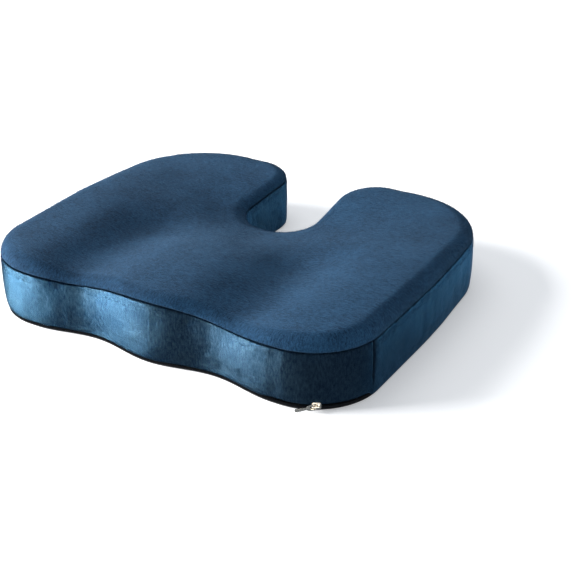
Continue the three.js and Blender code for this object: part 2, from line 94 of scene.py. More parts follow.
# half of the outline, from the nose to the middle of the cut-out; the left side mirrors it
def halfOutline():
    wave = []
    for i in range(cut["waveSteps"] + 1):
        phase = 2 * math.pi * i / cut["waveSteps"]
        y = front + cut["scallop"] * (1 - math.cos(phase)) / 2
        wave.append(Vector((cut["pitch"] * i / cut["waveSteps"], y)))
    side = cut["halfWidth"] - cut["taper"]
    notchY = rear - cut["notchDepth"]
    corners = [
        (Vector((side, front)), cut["frontRadius"]),
        (Vector((cut["halfWidth"], middle)), cut["sideRadius"]),
        (Vector((side, rear)), cut["rearRadius"]),
        (Vector((cut["notchMouth"] / 2, rear)), cut["lipRadius"]),
        (Vector((cut["notchFloor"] / 2, notchY)), cut["floorRadius"]),
    ]
    arcs = roundedPath(wave[-1], corners, Vector((0, notchY)))
    spots = wave + [p for arc in arcs for p in arc[0]] + [Vector((0, notchY))]
    kept = [spots[0]]
    for p in spots[1:]:
        if (p - kept[-1]).length > samePlace:
            kept.append(p)
    return np.array(kept), arcs


halfPoints, arcs = halfOutline()
gaps = np.linalg.norm(np.diff(halfPoints, axis=0), axis=1)
halfAt = np.concatenate([[0], np.cumsum(gaps)])
halfLength = halfAt[-1]
along = np.gradient(halfPoints, halfAt, axis=0)
along[0] = along[-1] = 0
along[0, 0], along[-1, 0] = 1, -1
along /= np.linalg.norm(along, axis=1)[:, None]
halfNormal = np.stack([along[:, 1], -along[:, 0]], 1)


# plan position at distance s, moved in by inset, and the outward normal there
def onOutline(s, inset=0.0):
    s = np.asarray(s, float)
    wrapped = (s + halfLength) % (2 * halfLength) - halfLength
    t, flip = np.abs(wrapped), np.where(wrapped < 0, -1.0, 1.0)
    p = np.stack([np.interp(t, halfAt, halfPoints[:, k]) for k in (0, 1)], -1)
    n = np.stack([np.interp(t, halfAt, halfNormal[:, k]) for k in (0, 1)], -1)
    n /= np.linalg.norm(n, axis=-1, keepdims=True)
    p[..., 0] *= flip
    n[..., 0] *= flip
    return p - n * np.asarray(inset, float)[..., None], n


def smooth(a, b, v):
    t = np.clip((v - a) / (b - a), 0, 1)
    return t * t * (3 - 2 * t)


def bell(v):
    return np.exp(-v * v)


# the top's height: a hollow for the seat, a groove for each thigh, lower at the rear
def topZ(p):
    x, y = p[..., 0], p[..., 1] - middle
    drop = cut["rearDrop"] * smooth(cut["dropFrom"], rear - middle, y)
    basin = cut["basin"] * bell(x / cut["basinX"]) * bell((y - cut["basinY"]) / cut["basinLength"])
    fade = 1 - smooth(cut["fadeFrom"], cut["fadeTo"], y)
    groove = cut["groove"] * bell((np.abs(x) - cut["grooveX"]) / cut["grooveWidth"]) * fade
    return crest - drop - basin - groove


# the seam is level, rises at the nose, and dips where the top comes down to it
def seamZ(s):
    p, _ = onOutline(s)
    y = p[..., 1] - middle
    atFront = 1 - smooth((front - middle) / 2, 0, y)
    level = cut["seam"] + cut["noseRise"] * bell(p[..., 0] / cut["noseHalf"]) * atFront
    highest = topZ(p) - cut["belowCrest"]
    blend = cut["seamBlend"]
    return np.minimum(level, highest) - blend * np.log1p(np.exp(-np.abs(level - highest) / blend))


# distance along the outline to a place part of the way round one of its arcs
def arcPlace(k, share=0.0):
    spots = arcs[k][0]
    spot = np.array(spots[int(len(spots) * share)])
    return halfAt[np.argmin(np.linalg.norm(halfPoints - spot, axis=1))]


arcStart = arcPlace(0)
cornerAt = arcStart + (math.radians(cut["cornerSeam"]) + math.pi / 2) * arcs[0][1]
tipOuter, tipInner = arcPlace(2, 0.6), arcPlace(3, 0.4)
print("outline", round(2 * halfLength, 3), "m round")


def newObject(name, data):
    obj = bpy.data.objects.new(name, data)
    bpy.context.scene.collection.objects.link(obj)
    return obj


def fromBmesh(name, bm):
    mesh = bpy.data.meshes.new(name)
    bm.to_mesh(mesh)
    bm.free()
    return newObject(name, mesh)


# the cover's skin: a grid along the U, then rings over the shoulder and down the bands
skin = dict(
    frontSteps=70, sideSteps=52, tipSteps=28,
    shoulderAngles=(77, 64, 51, 39, 27, 17, 9, 4, 0),   # degrees above the seam
    field=-0.05,   # "down" on the flat of the top, further up than any seam
    seamRings=(0.018, 0.042), bandFrom=0.09, bandSteps=14, bulge=0.0012, bulgeShape=0.8,
    sideHem=0.0015, frontHem=0.0050, runHem=0.0068, hemRise=0.022, runFrom=0.004, hemBlend=0.004,
    sideCurl=0.0022, frontCurl=0.0003, hemRings=((0.4, 0.0), (1.0, 0.0003)),
    seamLip=(0.0011, 0.0024),
)


def stationsAlongU():
    near, far = skin["seamLip"]
    outer = np.concatenate([
        np.linspace(0, cornerAt - far, skin["frontSteps"]),
        [cornerAt - near, cornerAt, cornerAt + near],
        np.linspace(cornerAt + far, tipOuter, skin["sideSteps"]),
    ])
    inner = np.linspace(halfLength, tipInner, len(outer))
    tip = np.linspace(tipOuter, tipInner, skin["tipSteps"] + 1)
    bothSides = [np.concatenate([-row[:0:-1], row]) for row in (outer, inner)]
    return bothSides[0], bothSides[1], tip


# the front hem hides the zip, and stays above the slider's post where the slider runs
def hemZ(s):
    raised = smooth(arcStart - skin["hemRise"], arcStart - skin["runFrom"], s)
    frontHem = skin["frontHem"] + (skin["runHem"] - skin["frontHem"]) * raised
    share = smooth(0, skin["hemBlend"], cornerAt - np.abs(s))
    return skin["sideHem"] + (frontHem - skin["sideHem"]) * share


def hemCurl(s):
    share = smooth(0, skin["hemBlend"], cornerAt - np.abs(s))
    return skin["sideCurl"] + (skin["frontCurl"] - skin["sideCurl"]) * share


# every point keeps its station round the outline and how far down from the seam it lies
def buildSkin():
    outer, inner, tip = stationsAlongU()
    n, m = len(outer) - 1, len(tip) - 1
    inset = cut["shoulder"]
    o, i = onOutline(outer, inset)[0], onOutline(inner, inset)[0]
    right = onOutline(tip, inset)[0]
    left = right * [-1, 1]
    u, v = np.meshgrid(np.linspace(0, 1, n + 1), np.linspace(0, 1, m + 1), indexing="ij")
    u, v = u[..., None], v[..., None]
    plan = ((1 - v) * o[:, None] + v * i[:, None] + (1 - u) * left[None] + u * right[None]
            - (1 - u) * (1 - v) * o[0] - u * (1 - v) * o[-1] - (1 - u) * v * i[0] - u * v * i[-1])
    height = topZ(plan)

    bm = bmesh.new()
    station = bm.verts.layers.float.new("station")
    down = bm.verts.layers.float.new("down")
    bmesh.ops.create_grid(bm, x_segments=n, y_segments=m, size=1)
    for vert in bm.verts:
        a = round((vert.co.x + 1) / 2 * n)
        b = round((vert.co.y + 1) / 2 * m)
        vert.co = (*plan[a, b], height[a, b])
        vert[down] = skin["field"]
        if b == 0:
            vert[station] = outer[a]
        elif b == m:
            vert[station] = inner[a]
        elif a == n:
            vert[station] = tip[b]
        elif a == 0:
            vert[station] = -tip[b]

    def ring(edges, place):
        made = bmesh.ops.extrude_edge_only(bm, edges=edges)["geom"]
        verts = [g for g in made if isinstance(g, bmesh.types.BMVert)]
        s = np.array([vert[station] for vert in verts])
        spots, below = place(s)
        for vert, spot, d in zip(verts, spots, below):
            vert.co = spot
            vert[down] = d
        fresh = set(verts)
        return [g for g in made if isinstance(g, bmesh.types.BMEdge) and fresh.issuperset(g.verts)]

    def shoulder(angle):
        def place(s):
            p = onOutline(s, inset * (1 - math.cos(angle)))[0]
            low = seamZ(s)
            rise = topZ(p) - low
            z = low + rise * math.sin(angle)
            return np.column_stack([p, z]), -np.hypot(rise, inset) * angle / (math.pi / 2)
        return place

    def band(t):
        def place(s):
            high, low = seamZ(s), hemZ(s)
            bulge = skin["bulge"] * math.sin(math.pi * t) ** skin["bulgeShape"]
            p = onOutline(s, np.full(len(s), -bulge))[0]
            return np.column_stack([p, high + (low - high) * t]), (high - low) * t
        return place

    def hem(share, lift):
        def place(s):
            inward = hemCurl(s) * share
            p = onOutline(s, inward)[0]
            low = hemZ(s)
            return np.column_stack([p, low + lift]), seamZ(s) - low + inward
        return place

    edges = [e for e in bm.edges if e.is_boundary]
    for angle in skin["shoulderAngles"]:
        edges = ring(edges, shoulder(math.radians(angle)))
    for t in (*skin["seamRings"], *np.linspace(skin["bandFrom"], 1, skin["bandSteps"])):
        edges = ring(edges, band(t))
    for share, lift in skin["hemRings"]:
        edges = ring(edges, hem(share, lift))
    bmesh.ops.recalc_face_normals(bm, faces=bm.faces)
    return fromBmesh("skin", bm)


def coords(mesh):
    co = np.empty(len(mesh.vertices) * 3, np.float32)
    mesh.vertices.foreach_get("co", co)
    return co.reshape(-1, 3).astype(float)


def setCoords(mesh, co):
    mesh.vertices.foreach_set("co", np.asarray(co, np.float32).ravel())
    mesh.update()


def attribute(mesh, name):
    values = np.empty(len(mesh.vertices), np.float32)
    mesh.attributes[name].data.foreach_get("value", values)
    return values.astype(float)


def normals(mesh):
    n = np.empty(len(mesh.vertices) * 3, np.float32)
    mesh.vertex_normals.foreach_get("vector", n)
    return n.reshape(-1, 3).astype(float)


# values averaged over neighbouring vertices
def evened(mesh, values, rounds):
    edges = np.empty(len(mesh.edges) * 2, np.int32)
    mesh.edges.foreach_get("vertices", edges)
    a, b = edges.reshape(-1, 2).T
    count = np.bincount(np.concatenate([a, b]), minlength=len(values))[:, None]
    for _ in range(rounds):
        total = np.empty_like(values)
        for k in range(3):
            total[:, k] = np.bincount(a, values[b, k], len(values))
            total[:, k] += np.bincount(b, values[a, k], len(values))
        values = 0.5 * values + 0.5 * total / count
    return values


cloth = dict(
    frames=14, spare=0.022, pressure=1.5,
    springs=dict(quality=4, mass=0.15, tension_stiffness=12, compression_stiffness=12,
                 shear_stiffness=6, bending_stiffness=0.05),
    evenRounds=60, gain=0.25, most=0.0005,
    onTop=0.35, reach=0.030, full=0.010,   # folds are whole near the seams and faint on the top
)


# lets the sewn skin buckle between its seams, and keeps the small folds that makes
def relax(obj):
    mesh = obj.data
    down, station = attribute(mesh, "down"), attribute(mesh, "station")
    held = (np.abs(down) < onSeam) | (down > seamZ(station) - hemZ(station) - onSeam)
    held |= (np.abs(np.abs(station) - cornerAt) < onSeam) & (down > 0)
    group = obj.vertex_groups.new(name="sewn")
    group.add([int(i) for i in np.flatnonzero(held)], 1.0, "REPLACE")
    before = coords(mesh)
    sim = obj.modifiers.new("sewn cloth", "CLOTH")
    for key, value in cloth["springs"].items():
        setattr(sim.settings, key, value)
    sim.settings.shrink_min = -cloth["spare"]
    sim.settings.use_pressure = True
    sim.settings.uniform_pressure_force = cloth["pressure"]
    sim.settings.vertex_group_mass = "sewn"
    sim.settings.effector_weights.gravity = 0
    sim.collision_settings.use_collision = False
    scene = bpy.context.scene
    for f in range(1, cloth["frames"] + 1):
        scene.frame_set(f)
    after = coords(obj.evaluated_get(bpy.context.evaluated_depsgraph_get()).data)
    obj.modifiers.remove(sim)
    obj.vertex_groups.remove(group)
    scene.frame_set(1)
    moved = after - before
    folds = moved - evened(mesh, moved, cloth["evenRounds"])
    size = np.linalg.norm(folds, axis=1)
    print("folds up to", round(size.max() * 1000, 2), "mm, mean", round(size.mean() * 1000, 3))
    size = np.maximum(size, tiny)
    most = cloth["most"]
    folds *= (most * np.tanh(size * cloth["gain"] / most) / size)[:, None]
    fade = smooth(cloth["reach"], cloth["full"], -down)
    folds *= (cloth["onTop"] + (1 - cloth["onTop"]) * fade)[:, None]
    setCoords(mesh, before + folds)


skinObj = buildSkin()
print("skin", len(skinObj.data.polygons), "faces")
relax(skinObj)
print("cloth relaxed")

seams = dict(
    depth=0.0012, width=0.0010, topEdge=0.001,
    cornerDepth=0.0015, cornerWidth=0.0013, cornerFrom=0.012, cornerTo=0.026,
    evenRounds=2, evenFrom=0.0015, evenTo=0.006,
    gather=0.00020, gatherReach=0.0065, gatherClear=0.0016, quiet=0.35, fineShare=0.6,
    coarse=(150, 30, 0.5), fine=(330, 60, 7.5),   # waves per metre along, across, and where in the noise
    swell=0.00045, swellScale=22, ripple=0.00006, rippleScale=95,
    thickness=0.0014, lipShare=0.3, lipFrom=0.0095, lipTo=0.0130,
)


# runs a stack of modifiers, then keeps the result as the object's own mesh
def settle(obj, *stack):
    for kind, values in stack:
        modifier = obj.modifiers.new(kind.lower(), kind)
        for key, value in values.items():
            setattr(modifier, key, value)
    bpy.context.view_layer.update()
    shape = bpy.data.meshes.new_from_object(obj.evaluated_get(bpy.context.evaluated_depsgraph_get()))
    obj.modifiers.clear()
    obj.data = shape


def seamNoise(s, d, waves):
    return noise.noise(Vector((s * waves[0], d * waves[1], waves[2])))


# sewn seams pull the cloth in, and small gathers run away from them
def sewSeams(obj):
    settle(obj, ("SUBSURF", dict(subdivision_type="SIMPLE", levels=1, render_levels=1)))
    mesh = obj.data
    co, n = coords(mesh), normals(mesh)
    down, station = attribute(mesh, "down"), attribute(mesh, "station")
    eased = evened(mesh, co, seams["evenRounds"])
    co += (eased - co) * smooth(seams["evenFrom"], seams["evenTo"], np.abs(down))[:, None]
    fromCorner = np.where(down > -seams["topEdge"], np.abs(np.abs(station) - cornerAt), 1.0)
    lift = -seams["depth"] * bell(down / seams["width"])
    lift -= (seams["cornerDepth"] * bell(fromCorner / seams["cornerWidth"])
             * smooth(seams["cornerFrom"], seams["cornerTo"], co[:, 2]))
    coarse, fine, swell, ripple = np.empty((4, len(co)))
    for i, p in enumerate(co):
        coarse[i] = seamNoise(station[i], down[i], seams["coarse"])
        fine[i] = seamNoise(station[i], down[i], seams["fine"])
        swell[i] = noise.noise(Vector(p) * seams["swellScale"])
        ripple[i] = noise.noise(Vector(p) * seams["rippleScale"])
    gathers = bell(down / seams["gatherReach"]) * (1 - bell(down / seams["gatherClear"]))
    gathers *= seams["quiet"] + (1 - seams["quiet"]) * np.clip(swell * 2 + 0.5, 0, 1)
    lift += seams["gather"] * gathers * (coarse + seams["fineShare"] * fine)
    lift += seams["swell"] * swell + seams["ripple"] * ripple
    setCoords(mesh, co + n * lift[:, None])


sewSeams(skinObj)


def isTop(below, at):
    return below < 0


def isFrontBand(below, at):
    return below > 0 and at < cornerAt


def isSideBand(below, at):
    return below > 0 and at > cornerAt


# one panel of the skin by a test on its faces, with the cloth's thickness
def panel(name, test, slotName, *nodes):
    bm = bmesh.new()
    bm.from_mesh(skinObj.data)
    down, station = bm.verts.layers.float["down"], bm.verts.layers.float["station"]
    away = []
    for face in bm.faces:
        below = sum(v[down] for v in face.verts) / len(face.verts)
        at = sum(abs(v[station]) for v in face.verts) / len(face.verts)
        if not test(below, at):
            away.append(face)
    bmesh.ops.delete(bm, geom=away, context="FACES")
    obj = fromBmesh(name, bm)
    wall = obj.vertex_groups.new(name="wall")
    for i, z in enumerate(coords(obj.data)[:, 2]):
        wall.add([i], float(smooth(seams["lipFrom"], seams["lipTo"], z)), "REPLACE")
    settle(obj, ("SOLIDIFY", dict(thickness=seams["thickness"], offset=-1, vertex_group="wall",
                                  thickness_vertex_group=seams["lipShare"])))
    obj.data.shade_smooth()
    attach(obj, "cushion")
    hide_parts(*nodes)
    print(name, len(obj.data.polygons), "faces")
    return obj


coverTop = panel("coverTop", isTop, "velour_top", "cover_top_panel")
coverFront = panel("coverFront", isFrontBand, "velour_band", "cover_front_band")
coverSide = panel("coverSide", isSideBand, "velour_band", "cover_side_band")


# as many copies of one small shape as there are places, by doubling a block of them
def scattered(name, unitBm, places):
    unit = np.array([v.co for v in unitBm.verts])
    block = bpy.data.meshes.new("block")
    unitBm.to_mesh(block)
    unitBm.free()
    whole = bmesh.new()
    size = 1
    while size <= len(places):
        if len(places) & size:
            whole.from_mesh(block)
        twice = bmesh.new()
        twice.from_mesh(block)
        twice.from_mesh(block)
        twice.to_mesh(block)
        twice.free()
        size *= 2
    obj = fromBmesh(name, whole)
    bpy.data.meshes.remove(block)
    turns, shifts = places[:, :9].reshape(-1, 3, 3), places[:, 9:]
    setCoords(obj.data, (np.einsum("nij,vj->nvi", turns, unit) + shifts[:, None]).reshape(-1, 3))
    return obj


fuzz = dict(
    count=42000, length=0.0016, radius=0.00008, buried=0.2, lean=0.7, stray=0.45,
    above=0.019, below=0.009,   # how far from the seam fibres stand
    seed=5, sideways=(0.31, 0.47, 0.83), tipMerge=0.001,
)


# loose fibres of the pile, leaning down over the shoulder and the seam
def looseFibres():
    mesh = skinObj.data
    corners = np.empty(len(mesh.loops), np.int32)
    mesh.loops.foreach_get("vertex_index", corners)
    quads = corners.reshape(-1, 4)
    co, n, down = coords(mesh)[quads], normals(mesh)[quads], attribute(mesh, "down")[quads].mean(1)
    area = np.linalg.norm(np.cross(co[:, 2] - co[:, 0], co[:, 3] - co[:, 1]), axis=1)
    area *= (down > -fuzz["above"]) & (down < fuzz["below"])
    draw = np.random.default_rng(fuzz["seed"])
    pick = draw.choice(len(quads), fuzz["count"], p=area / area.sum())
    u, v = draw.random((2, fuzz["count"], 1))
    low = co[pick, 0] * (1 - u) + co[pick, 1] * u
    high = co[pick, 3] * (1 - u) + co[pick, 2] * u
    root = low * (1 - v) + high * v
    up = n[pick].mean(1)
    up /= np.linalg.norm(up, axis=1)[:, None]
    fall = np.array([0, 0, -1]) + up * up[:, 2:]
    fall += draw.normal(0, fuzz["stray"], root.shape)
    axis = up + fuzz["lean"] * fall
    axis /= np.linalg.norm(axis, axis=1)[:, None]
    across = np.cross(axis, fuzz["sideways"])
    across /= np.linalg.norm(across, axis=1)[:, None]
    third = np.cross(axis, across)
    length = fuzz["length"] * (0.5 + draw.random(fuzz["count"]))
    turns = np.stack([across * fuzz["radius"], third * fuzz["radius"], axis * length[:, None]], 2)
    bm = bmesh.new()
    bmesh.ops.create_cone(bm, cap_ends=True, segments=3, radius1=1, radius2=0, depth=1)
    bmesh.ops.remove_doubles(bm, verts=bm.verts, dist=fuzz["tipMerge"])
    bmesh.ops.translate(bm, verts=bm.verts, vec=(0, 0, 0.5 - fuzz["buried"]))
    obj = scattered("pileFibres", bm, np.hstack([turns.reshape(-1, 9), root]))
    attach(obj, "cushion")
    print("fibres", fuzz["count"])
    return obj


fibres = looseFibres()
bpy.data.objects.remove(skinObj)


# a copy of a CAD node to work on, its triangles merged into flats
def copyOf(node, name):
    bm = bmesh.new()
    bm.from_mesh(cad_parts[node].data)
    bmesh.ops.remove_doubles(bm, verts=bm.verts, dist=samePlace)
    bmesh.ops.dissolve_limit(bm, angle_limit=math.radians(1), verts=bm.verts, edges=bm.edges)
    return fromBmesh(name, bm)


foam = dict(cell=0.004, ease=0.5, rounds=6, tuck=0.0028, tuckFrom=0.010, tuckTo=0.017)


# the foam's low edge goes back behind the zip's tapes
def tuckLowEdge(obj):
    co = coords(obj.data)
    share = 1 - smooth(foam["tuckFrom"], foam["tuckTo"], co[:, 2])
    co[:, :2] -= normals(obj.data)[:, :2] * (share * foam["tuck"])[:, None]
    setCoords(obj.data, co)


foamCore = copyOf("foam_core", "foamCore")
settle(foamCore, ("REMESH", dict(mode="VOXEL", voxel_size=foam["cell"])),
       ("SMOOTH", dict(factor=foam["ease"], iterations=foam["rounds"])))
tuckLowEdge(foamCore)
foamCore.data.shade_smooth()
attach(foamCore, "cushion")
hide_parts("foam_core")
print("foam core", len(foamCore.data.polygons), "faces")

base = dict(
    top=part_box("cover_base_panel")[1].z, bottom=0.00045, inset=0.0010, edgeSteps=900,
    hem=0.00022, hemSegments=2, sharp=1,   # radians
    dotPitch=0.0125, dotRadius=0.0021, dotRise=0.0005, dotInset=0.010, dotSides=10, dotRings=4,
)


def outlineRow(count, inset):
    return onOutline(np.linspace(-halfLength, halfLength, count, endpoint=False), np.full(count, inset))[0]


# the sole: one cloth cut to the outline, its edge turned
def baseSheet():
    bm = bmesh.new()
    loop = [bm.verts.new((x, y, base["top"])) for x, y in outlineRow(base["edgeSteps"], base["inset"])]
    rim = [bm.edges.new((loop[i - 1], loop[i])) for i in range(len(loop))]
    bmesh.ops.triangle_fill(bm, edges=rim, use_beauty=True)
    grown = bmesh.ops.extrude_face_region(bm, geom=bm.faces[:])["geom"]
    lower = [g for g in grown if isinstance(g, bmesh.types.BMVert)]
    bmesh.ops.translate(bm, verts=lower, vec=(0, 0, base["bottom"] - base["top"]))
    bmesh.ops.recalc_face_normals(bm, faces=bm.faces)
    rims = [e for e in bm.edges if len(e.link_faces) == 2 and e.calc_face_angle() > base["sharp"]]
    bmesh.ops.bevel(bm, geom=rims, offset=base["hem"], segments=base["hemSegments"], profile=0.5,
                    affect="EDGES", material=-1)
    return fromBmesh("baseCloth", bm)


baseCloth = baseSheet()
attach(baseCloth, "cushion")
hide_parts("cover_base_panel")


# which spots lie within a closed edge, by counting the sides each one has to its left
def inside(spots, edge):
    a, b = edge, np.roll(edge, -1, axis=0)
    x, y = spots[:, 0, None], spots[:, 1, None]
    rise = np.where(a[:, 1] == b[:, 1], tiny, b[:, 1] - a[:, 1])
    crosses = ((a[:, 1] > y) != (b[:, 1] > y)) & (x < a[:, 0] + (y - a[:, 1]) * (b[:, 0] - a[:, 0]) / rise)
    return crosses.sum(1) % 2 == 1


def gripDots():
    pitch = base["dotPitch"]
    rows = math.ceil(max(-front, rear) / (pitch * math.sqrt(3) / 2))
    columns = math.ceil(cut["halfWidth"] / pitch)
    spots = []
    for row in range(-rows, rows + 1):
        for column in range(-columns - 1, columns + 1):
            spots.append((pitch * (column + 0.5 * (row % 2)), pitch * row * math.sqrt(3) / 2))
    spots = np.array(spots)
    spots = spots[inside(spots, outlineRow(base["edgeSteps"], base["dotInset"]))]
    bm = bmesh.new()
    bmesh.ops.create_uvsphere(bm, u_segments=base["dotSides"], v_segments=base["dotRings"], radius=1)
    bmesh.ops.scale(bm, verts=bm.verts, vec=(base["dotRadius"], base["dotRadius"], base["dotRise"]))
    upright = np.tile(np.eye(3).ravel(), (len(spots), 1))
    print("base cloth and", len(spots), "grip dots")
    return scattered("gripDots", bm, np.hstack([upright, spots, np.full((len(spots), 1), base["dotRise"])]))


dots = gripDots()
dots.data.shade_smooth()
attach(dots, "cushion")

zipper = dict(
    wire=0.00027, pitch=0.00127, turnSteps=12, inset=0.00145, halfDepth=0.00055, upperPhase=0.25,
    meshedOffset=0.0008, meshedHalf=0.00105, openOffset=0.00145, openHalf=0.00048,
    blend=0.010, openBy=0.002, tack=0.0036,
)
lowerCoil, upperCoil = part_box("zipper_coil_lower"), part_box("zipper_coil_upper")
trackZ = (lowerCoil[1].z + upperCoil[0].z) / 2
coilEnd = cornerAt - zipper["tack"]


# one row of the coil: a flattened spiral along the track, interlocked as far as the slider
def coil(name, side, *nodes):
    turns = int(2 * coilEnd / zipper["pitch"])
    t = np.arange(turns * zipper["turnSteps"] + 1) / zipper["turnSteps"]
    s = -coilEnd + t * 2 * coilEnd / turns
    apart = smooth(arcStart - zipper["blend"], arcStart - zipper["openBy"], s)
    offset = zipper["meshedOffset"] + (zipper["openOffset"] - zipper["meshedOffset"]) * apart
    half = zipper["meshedHalf"] + (zipper["openHalf"] - zipper["meshedHalf"]) * apart
    angle = 2 * math.pi * (t + (zipper["upperPhase"] if side > 0 else 0.0))
    z = trackZ + side * (offset + half * np.cos(angle))
    p = onOutline(s, zipper["inset"] + zipper["halfDepth"] * np.sin(angle))[0]
    curve = bpy.data.curves.new(name, "CURVE")
    curve.dimensions = "3D"
    line = curve.splines.new("POLY")
    line.points.add(len(s) - 1)
    line.points.foreach_set("co", np.column_stack([p, z, np.ones(len(s))]).astype(np.float32).ravel())
    curve.bevel_depth = zipper["wire"]
    curve.bevel_resolution = 0
    curve.use_fill_caps = True
    route = newObject(name + "Route", curve)
    bpy.context.view_layer.update()
    mesh = bpy.data.meshes.new_from_object(route.evaluated_get(bpy.context.evaluated_depsgraph_get()))
    bpy.data.objects.remove(route)
    obj = newObject(name, mesh)
    mesh.shade_smooth()
    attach(obj, "cushion")
    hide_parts(*nodes)
    print(name, len(mesh.polygons), "faces")
    return obj


coilUpper = coil("coilUpper", 1, "zipper_coil_upper")
coilLower = coil("coilLower", -1, "zipper_coil_lower")

cast = dict(sliderEdge=0.00028, tabEdge=0.00025, segments=3, corner=32)   # corner in degrees


# the slider and its tab, with the cast edges rounded
def castPart(name, node, body, edge):
    obj = copyOf(node, name)
    settle(obj, ("BEVEL", dict(width=edge, segments=cast["segments"], limit_method="ANGLE",
                               angle_limit=math.radians(cast["corner"]), use_clamp_overlap=True)))
    obj.data.shade_smooth()
    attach(obj, body)
    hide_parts(node)
    return obj


slider = castPart("slider", "zipper_slider", "slider", cast["sliderEdge"])
pullTab = castPart("pullTab", "zipper_pull_tab", "pull", cast["tabEdge"])
print("zip made")


# materials: every pattern is in metres on the piece
def node(tree, kind, inputs, **settings):
    made = tree.nodes.new("ShaderNode" + kind)
    for key, value in settings.items():
        setattr(made, key, value)
    for key, value in inputs.items():
        if isinstance(value, bpy.types.NodeSocket):
            tree.links.new(value, made.inputs[key])
        else:
            made.inputs[key].default_value = value
    return made


def newMaterial(name, **constants):
    made = bpy.data.materials.new(name)
    made.use_nodes = True
    tree = made.node_tree
    shader = tree.nodes["Principled BSDF"]
    for key, value in constants.items():
        shader.inputs[key.replace("_", " ")].default_value = value
    place = node(tree, "TexCoord", {}).outputs["Object"]
    return made, tree, shader, place


def grainOf(tree, place, scale, stretch=(1, 1, 1), detail=3.0, rough=0.55):
    at = node(tree, "Mapping", {"Vector": place, "Scale": stretch}).outputs[0]
    inputs = {"Vector": at, "Scale": scale, "Detail": detail, "Roughness": rough}
    return node(tree, "TexNoise", inputs).outputs["Fac"]


def cellsOf(tree, place, scale):
    return node(tree, "TexVoronoi", {"Vector": place, "Scale": scale}).outputs["Distance"]


def maths(tree, operation, a, b=0.0, c=0.0):
    return node(tree, "Math", {0: a, 1: b, 2: c}, operation=operation).outputs[0]


# a + b * share
def plus(tree, b, share, a):
    return maths(tree, "MULTIPLY_ADD", b, share, a)


def stretched(tree, value, low, high, to=(0.0, 1.0)):
    return node(tree, "MapRange", {"Value": value, "From Min": low, "From Max": high,
                                   "To Min": to[0], "To Max": to[1]}).outputs[0]


def blended(tree, share, a, b):
    return node(tree, "Mix", {0: share, 6: a, 7: b}, data_type="RGBA").outputs[2]


def bumped(tree, height, distance, strength=1.0, before=None):
    inputs = {"Height": height, "Distance": distance, "Strength": strength}
    if before is not None:
        inputs["Normal"] = before
    return node(tree, "Bump", inputs).outputs[0]


# the pile's two lots of cloth: matt on the top, satin on the bands
velourTop = dict(
    deep=(0.0012, 0.0065, 0.018, 1), pale=(0.0120, 0.0405, 0.083, 1), satin=0.0, roughness=0.85,
    specular=0.06, specularTint=(0.4, 0.7, 1.0, 1),
    sheen=0.08, sheenTint=(0.36, 0.62, 0.95, 1), sheenRoughness=0.42,
    streak=(190, 700, 700), comb=(700, 200, 1), streakDepth=0.00080,
    grain=820, grainDepth=0.00180, cornerShadeShare=0.0,
)
velourBand = dict(
    deep=(0.0009, 0.0078, 0.028, 1), pale=(0.0255, 0.053, 0.082, 1), satin=0.78, roughness=0.28,
    specular=0.1, specularTint=(0.40, 0.64, 0.90, 1),
    sheen=0.05, sheenTint=(0.30, 0.62, 1.0, 1), sheenRoughness=0.36,
    streak=(420, 420, 110), comb=(520, 170, 1), streakDepth=0.00032,
    # the bands' last value here sets how strong the painted shade down their corner seams is
    grain=1400, grainDepth=0.00072, cornerShadeShare=0.6,
)
pile = dict(
    grainShare=0.45, streakShare=0.5, patch=26, patchShare=0.22, broad=7, broadShare=0.12,
    paleFrom=0.51, paleTo=0.78, grainRough=0.65, streakLift=0.5, grainLift=0.55,
    combFrom=-0.026, combTo=-0.016,   # over the shoulder the streaks run down
    # painted shade in the seam grooves: where it starts and ends away from the seam, how strong it is, its
    # colour, and how far it reaches from the corner seams
    seamEdge=0.0003, seamReach=0.0018, seamShadeShare=0.2, seamShade=(0.002, 0.006, 0.014, 1),
    cornerReach=0.0022,
)
